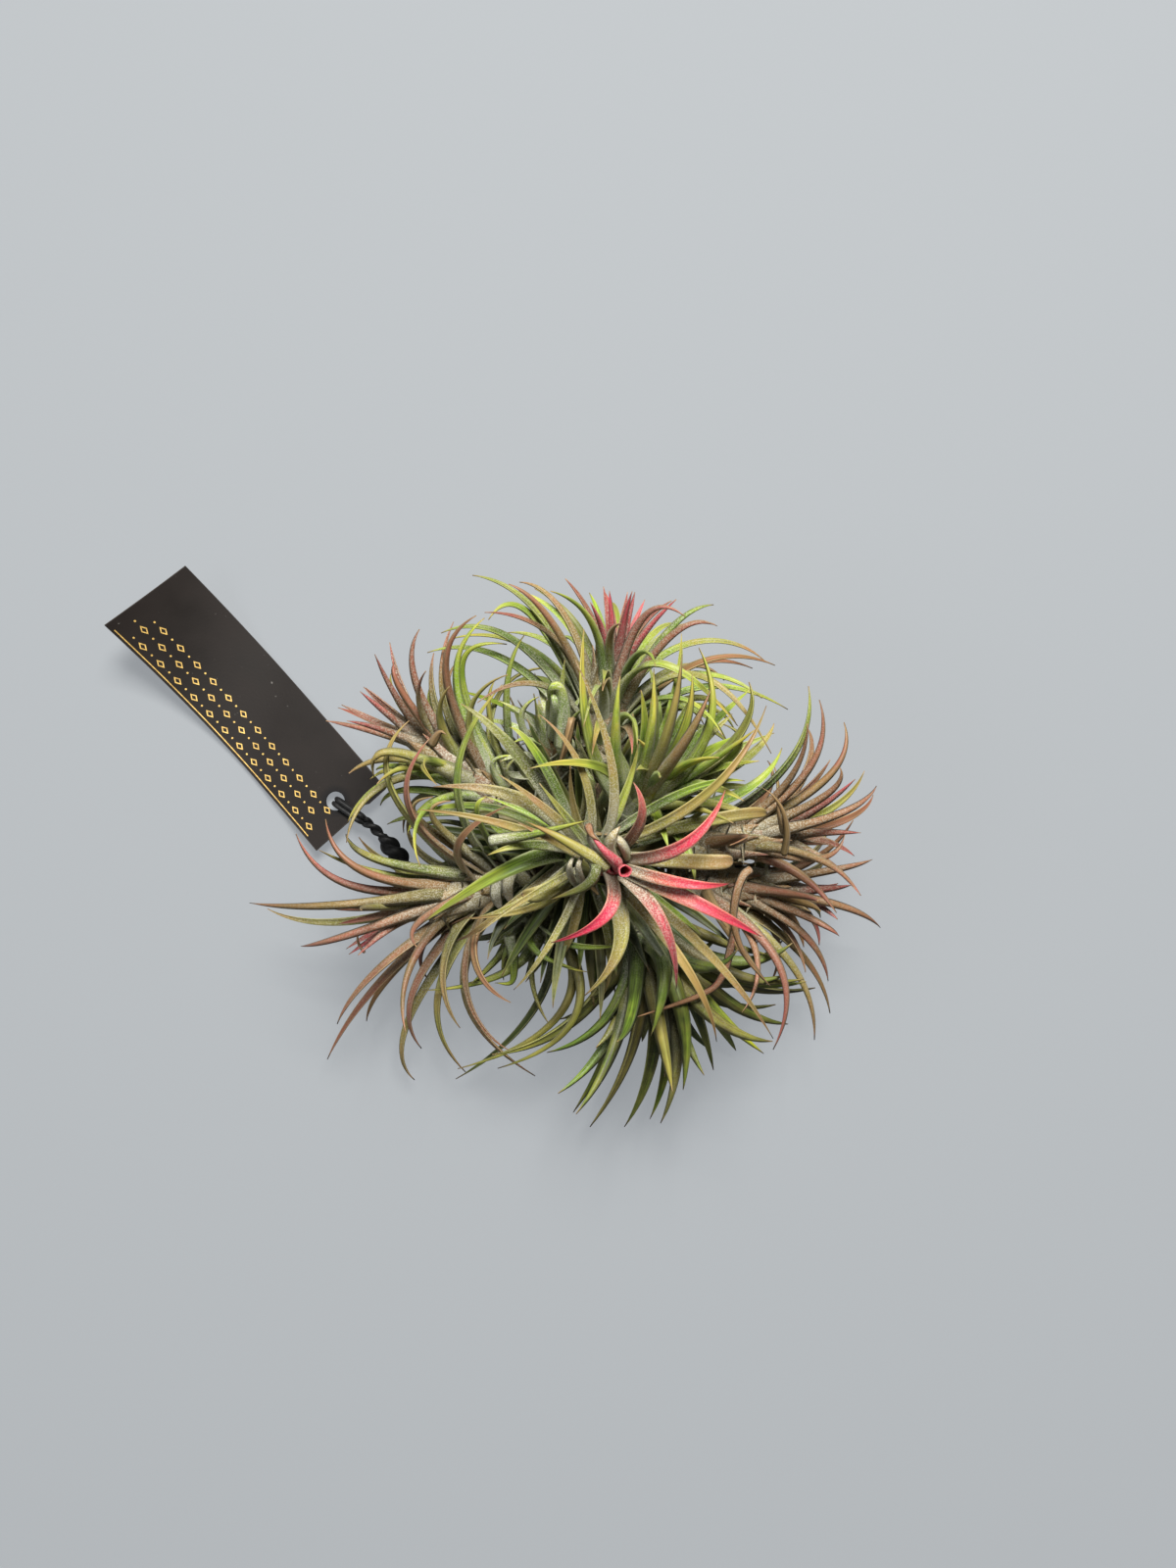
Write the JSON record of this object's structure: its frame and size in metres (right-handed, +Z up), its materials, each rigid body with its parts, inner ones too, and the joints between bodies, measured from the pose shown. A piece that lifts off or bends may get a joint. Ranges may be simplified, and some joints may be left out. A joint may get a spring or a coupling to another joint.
{
  "type": "air plant clump of stiff, narrow-leaved rosettes with a card tag",
  "caption": "Clump of spiky air plant rosettes on a woody crown, green to bronze with crimson inner leaves, tied to a dark card tag by a black cord.",
  "frame": {"origin": "centre of the flat spot that the crown's stump rests on", "axes": "+Z up, +X to the right of the clump with the tag on the -X side, +Y towards the top head"},
  "size_m": [0.2225, 0.1647, 0.0903],
  "materials": {
    "green_leaf": "scurfy green leaf, silvery at the base",
    "olive_leaf": "scurfy olive and tan leaf, silvery at the base",
    "bronze_leaf": "scurfy leaf flushed bronze pink",
    "crimson_leaf": "scurfy leaf flushed crimson",
    "crown_wood": "dry fibrous bark",
    "tag_card": "smooth dark card with a gold print",
    "black_cord": "twisted black string"
  },
  "bodies": {
    "root": {"front_head": "olive_leaf", "front_heart": "crimson_leaf", "top_head": "green_leaf", "top_heart": "bronze_leaf", "upper_left_head": "green_leaf", "upper_left_heart": "bronze_leaf", "left_head": "green_leaf", "left_heart": "bronze_leaf", "right_upper_head": "green_leaf", "right_upper_heart": "bronze_leaf", "right_lower_head": "green_leaf", "right_lower_heart": "bronze_leaf", "bottom_head": "green_leaf", "inner_head": "green_leaf", "pup_head": "green_leaf", "low_pup_head": "green_leaf", "crown": "crown_wood", "tag": "tag_card", "tag_loop": "black_cord", "cord_outer": "black_cord", "cord_knot": "black_cord", "cord_inner": "black_cord", "tie_ring": "black_cord"}
  },
  "joints": []
}
